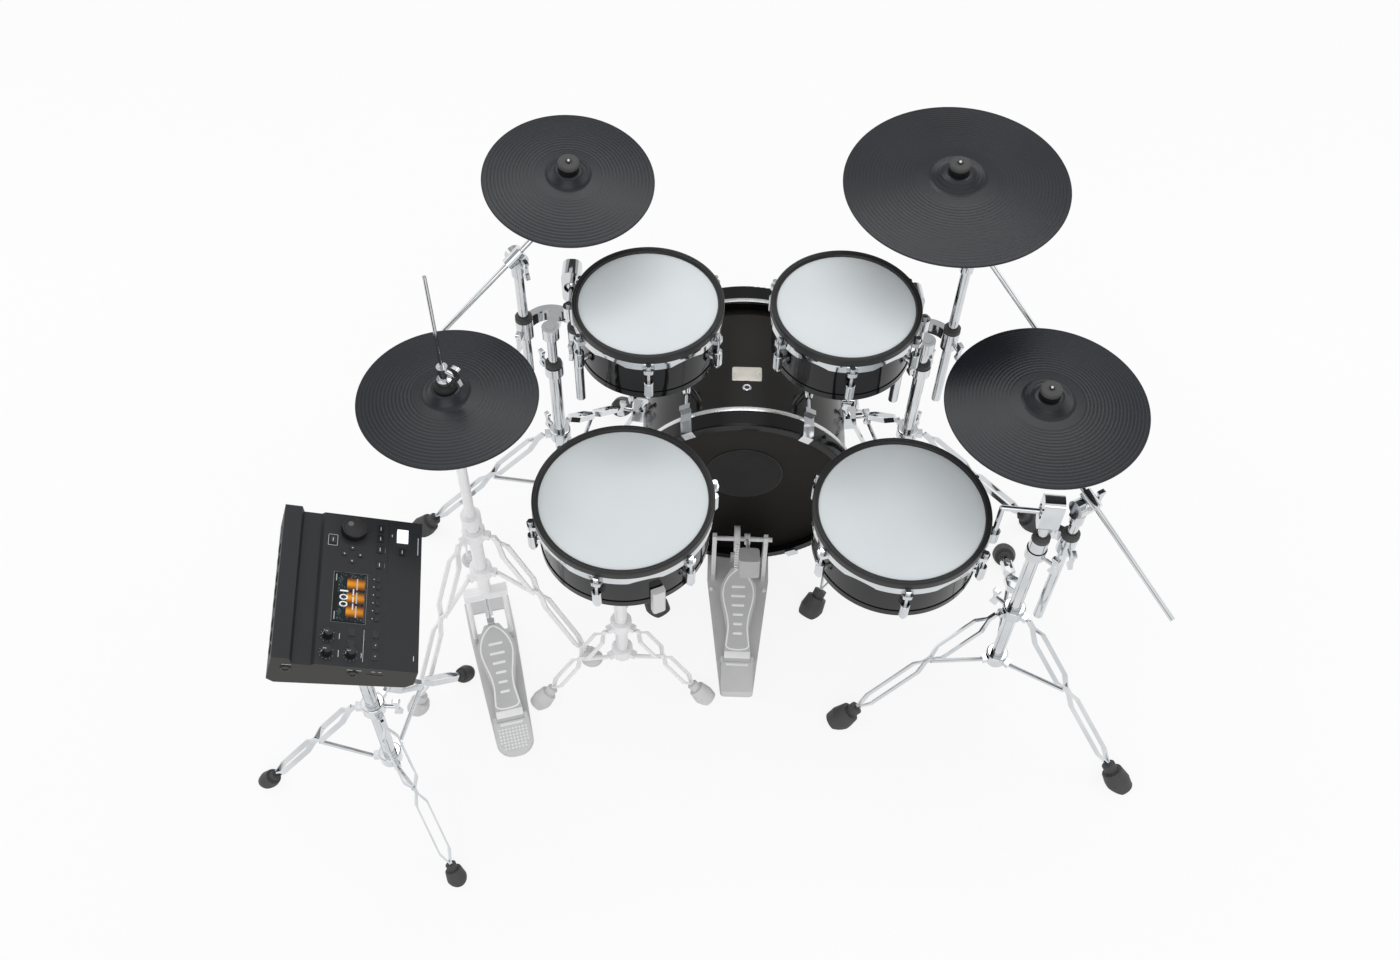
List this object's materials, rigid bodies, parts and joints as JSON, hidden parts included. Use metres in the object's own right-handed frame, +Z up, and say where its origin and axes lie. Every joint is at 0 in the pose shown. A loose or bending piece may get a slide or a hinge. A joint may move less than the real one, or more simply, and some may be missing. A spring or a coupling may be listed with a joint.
{
  "type": "electronic drum kit",
  "caption": "Electronic drum kit: kick drum with pedal, mesh-headed snare and toms, rubber cymbals on boom stands, pedal-worked hi-hat and a tilting sound module on chrome tripods.",
  "frame": {"origin": "on the floor under the kick pedal's floor plate, on the kick drum's centre line", "axes": "+X to the player's right, +Y away from the player along the kick drum's axis, +Z up"},
  "size_m": [1.7429, 1.2384, 1.081],
  "materials": {
    "chrome": "polished",
    "pale_metal": "satin",
    "black_lacquer": "gloss",
    "kick_lacquer": "satin lacquer",
    "kick_skin": "matte",
    "mesh": "woven",
    "rubber": "matte",
    "pale_rubber": "matte",
    "cymbal_rubber": "fine grooves",
    "module_plastic": "fine texture",
    "key_plastic": "satin",
    "lit_key": "lit",
    "screen_glass": "gloss"
  },
  "bodies": {
    "kit": {"kick_shell": "kick_lacquer", "kick_hoops": "black_lacquer", "kick_heads": "kick_skin", "kick_lugs": "chrome", "pedal_frame": "pale_metal", "snare_stand": "pale_metal", "hihat_stand": "pale_metal", "pale_feet": "pale_rubber", "rear_left_stand": "chrome", "rear_right_stand": "chrome", "front_stand": "chrome", "stand_legs": "chrome", "stand_feet": "rubber", "module_stand": "chrome"},
    "spur_left": {"kick_spur_left": "chrome"},
    "spur_right": {"kick_spur_right": "chrome"},
    "kick_treadle": {"pedal_footboard": "pale_metal"},
    "chain": {"pedal_chain": "pale_metal"},
    "beater": {"pedal_beater": "pale_metal"},
    "hihat_treadle": {"hihat_footboard": "pale_metal"},
    "hihat_pull": {"hihat_rod": "chrome", "hihat_cymbal": "cymbal_rubber"},
    "snare_drum": {"snare_basket": "pale_metal", "snare_shell": "black_lacquer", "snare_head": "mesh", "snare_rim": "rubber", "snare_hoop": "chrome"},
    "left_mast": {"mast_left": "chrome"},
    "ride_mast": {"mast_ride": "chrome"},
    "right_mast": {"mast_right": "chrome"},
    "left_boom": {"boom_left": "chrome"},
    "ride_boom": {"boom_ride": "chrome"},
    "right_boom": {"boom_right": "chrome"},
    "left_crash": {"crash_left": "cymbal_rubber"},
    "ride_cymbal": {"ride": "cymbal_rubber"},
    "right_crash": {"crash_right": "cymbal_rubber"},
    "left_holder": {"tom_left_arm": "chrome"},
    "right_holder": {"tom_right_arm": "chrome"},
    "floor_holder": {"floor_tom_arm": "chrome"},
    "left_tom": {"tom_left_shell": "black_lacquer", "tom_left_head": "mesh", "tom_left_rim": "rubber", "tom_left_hoop": "chrome"},
    "right_tom": {"tom_right_shell": "black_lacquer", "tom_right_head": "mesh", "tom_right_rim": "rubber", "tom_right_hoop": "chrome"},
    "low_tom": {"floor_tom_shell": "black_lacquer", "floor_tom_head": "mesh", "floor_tom_rim": "rubber", "floor_tom_hoop": "chrome"},
    "module_head": {"module_case": "module_plastic", "module_plate": "module_plastic", "module_screen": "screen_glass", "module_buttons": "key_plastic"},
    "dial": {"module_dial": "key_plastic"},
    "phones_knob": {"module_knob_phones": "key_plastic"},
    "level_knob": {"module_knob_level": "key_plastic"},
    "mix_knob": {"module_knob_mix": "key_plastic"},
    "kit_key": {"module_kit_key": "lit_key"}
  },
  "joints": [
    {"name": "spur_left_slide", "type": "slide", "parent": "kit", "child": "spur_left", "axis": [0.2939, -0.309, 0.9045], "range_m": [0, 0.08]},
    {"name": "spur_right_slide", "type": "slide", "parent": "kit", "child": "spur_right", "axis": [-0.2939, -0.309, 0.9045], "range_m": [0, 0.08]},
    {"name": "kick_treadle_press", "type": "hinge", "parent": "kit", "child": "kick_treadle", "pos_m": [0, -0.095, 0.016], "axis": [-1, 0, 0], "range_deg": [0, 9], "stiffness_Nm_per_rad": 6, "springref_deg": -20.05},
    {"name": "chain_pull", "type": "slide", "parent": "kit", "child": "chain", "axis": [0, 0, -1], "range_m": [0, 0.03114]},
    {"name": "beater_swing", "type": "hinge", "parent": "kit", "child": "beater", "pos_m": [0, 0.134, 0.134], "axis": [-1, 0, 0], "range_deg": [0, 63.56]},
    {"name": "hihat_treadle_press", "type": "hinge", "parent": "kit", "child": "hihat_treadle", "pos_m": [-0.45897, -0.24778, 0.016], "axis": [-0.9593, -0.2823, 0], "range_deg": [0, 5], "stiffness_Nm_per_rad": 22, "springref_deg": -22.92},
    {"name": "hihat_pull_slide", "type": "slide", "parent": "kit", "child": "hihat_pull", "axis": [0, 0, -1], "range_m": [0, 0.01773]},
    {"name": "snare_tilt", "type": "hinge", "parent": "kit", "child": "snare_drum", "pos_m": [-0.241, -0.087, 0.452], "axis": [1, 0, 0], "range_deg": [-12, 12]},
    {"name": "left_mast_height", "type": "slide", "parent": "kit", "child": "left_mast", "axis": [0, 0, 1], "range_m": [-0.03, 0.1]},
    {"name": "left_boom_tilt", "type": "hinge", "parent": "left_mast", "child": "left_boom", "pos_m": [-0.43905, 0.29792, 0.782], "axis": [0.5447, -0.8386, 0], "range_deg": [-10, 25]},
    {"name": "left_crash_rock", "type": "hinge", "parent": "left_boom", "child": "left_crash", "pos_m": [-0.33865, 0.3384, 0.94204], "axis": [0.9976, 0.0083, -0.0688], "range_deg": [-6, 6], "stiffness_Nm_per_rad": 4},
    {"name": "ride_mast_height", "type": "slide", "parent": "kit", "child": "ride_mast", "axis": [0, 0, 1], "range_m": [-0.03, 0.1]},
    {"name": "ride_boom_tilt", "type": "hinge", "parent": "ride_mast", "child": "ride_boom", "pos_m": [0.39421, 0.33848, 0.79], "axis": [0.5952, 0.8036, 0], "range_deg": [-10, 25]},
    {"name": "ride_cymbal_rock", "type": "hinge", "parent": "ride_boom", "child": "ride_cymbal", "pos_m": [0.35065, 0.38065, 0.92886], "axis": [0.9992, -0.0016, 0.0399], "range_deg": [-6, 6], "stiffness_Nm_per_rad": 4},
    {"name": "right_mast_height", "type": "slide", "parent": "kit", "child": "right_mast", "axis": [0, 0, 1], "range_m": [-0.03, 0.1]},
    {"name": "right_boom_tilt", "type": "hinge", "parent": "right_mast", "child": "right_boom", "pos_m": [0.57787, -0.11037, 0.626], "axis": [0.8634, 0.5045, 0], "range_deg": [-10, 25]},
    {"name": "right_crash_rock", "type": "hinge", "parent": "right_boom", "child": "right_crash", "pos_m": [0.50879, 0.02579, 0.74299], "axis": [0.9996, -0.0009, 0.03], "range_deg": [-6, 6], "stiffness_Nm_per_rad": 4},
    {"name": "left_tom_height", "type": "slide", "parent": "kit", "child": "left_holder", "axis": [0, 0, 1], "range_m": [-0.03, 0.06]},
    {"name": "left_tom_tilt", "type": "hinge", "parent": "left_holder", "child": "left_tom", "pos_m": [-0.33697, 0.27208, 0.746], "axis": [-0.0027, -1, 0], "range_deg": [-10, 10]},
    {"name": "right_tom_height", "type": "slide", "parent": "kit", "child": "right_holder", "axis": [0, 0, 1], "range_m": [-0.03, 0.06]},
    {"name": "right_tom_tilt", "type": "hinge", "parent": "right_holder", "child": "right_tom", "pos_m": [0.29836, 0.29355, 0.693], "axis": [-0.0952, 0.9955, 0], "range_deg": [-10, 10]},
    {"name": "floor_tom_height", "type": "slide", "parent": "kit", "child": "floor_holder", "axis": [0, 0, 1], "range_m": [-0.015, 0.06]},
    {"name": "floor_tom_tilt", "type": "hinge", "parent": "floor_holder", "child": "low_tom", "pos_m": [0.52002, -0.11357, 0.612], "axis": [0.9975, -0.071, 0], "range_deg": [-10, 10]},
    {"name": "module_tilt", "type": "hinge", "parent": "kit", "child": "module_head", "pos_m": [-0.673, -0.368, 0.585], "axis": [-0.1219, 0.9925, 0], "range_deg": [-12, 12]},
    {"name": "dial_turn", "type": "hinge", "parent": "module_head", "child": "dial", "pos_m": [-0.65683, -0.25633, 0.69], "axis": [0.3231, 0.0397, 0.9455], "continuous": true},
    {"name": "phones_knob_turn", "type": "hinge", "parent": "module_head", "child": "phones_knob", "pos_m": [-0.66055, -0.45879, 0.69977], "axis": [0.3231, 0.0397, 0.9455], "range_deg": [-150, 150]},
    {"name": "level_knob_turn", "type": "hinge", "parent": "module_head", "child": "level_knob", "pos_m": [-0.65677, -0.48956, 0.69977], "axis": [0.3231, 0.0397, 0.9455], "range_deg": [-150, 150]},
    {"name": "mix_knob_turn", "type": "hinge", "parent": "module_head", "child": "mix_knob", "pos_m": [-0.62252, -0.48535, 0.68788], "axis": [0.3231, 0.0397, 0.9455], "range_deg": [-150, 150]},
    {"name": "kit_key_press", "type": "slide", "parent": "module_head", "child": "kit_key", "axis": [-0.3231, -0.0397, -0.9455], "range_m": [0, 0.0015], "stiffness_N_per_m": 300, "springref_m": -0.002}
  ],
  "couplings": [
    {"joint": "beater_swing", "follows": "kick_treadle_press", "ratio": 7.0571},
    {"joint": "chain_pull", "follows": "kick_treadle_press", "m_per_rad": 0.1976},
    {"joint": "hihat_pull_slide", "follows": "hihat_treadle_press", "m_per_rad": 0.202}
  ]
}
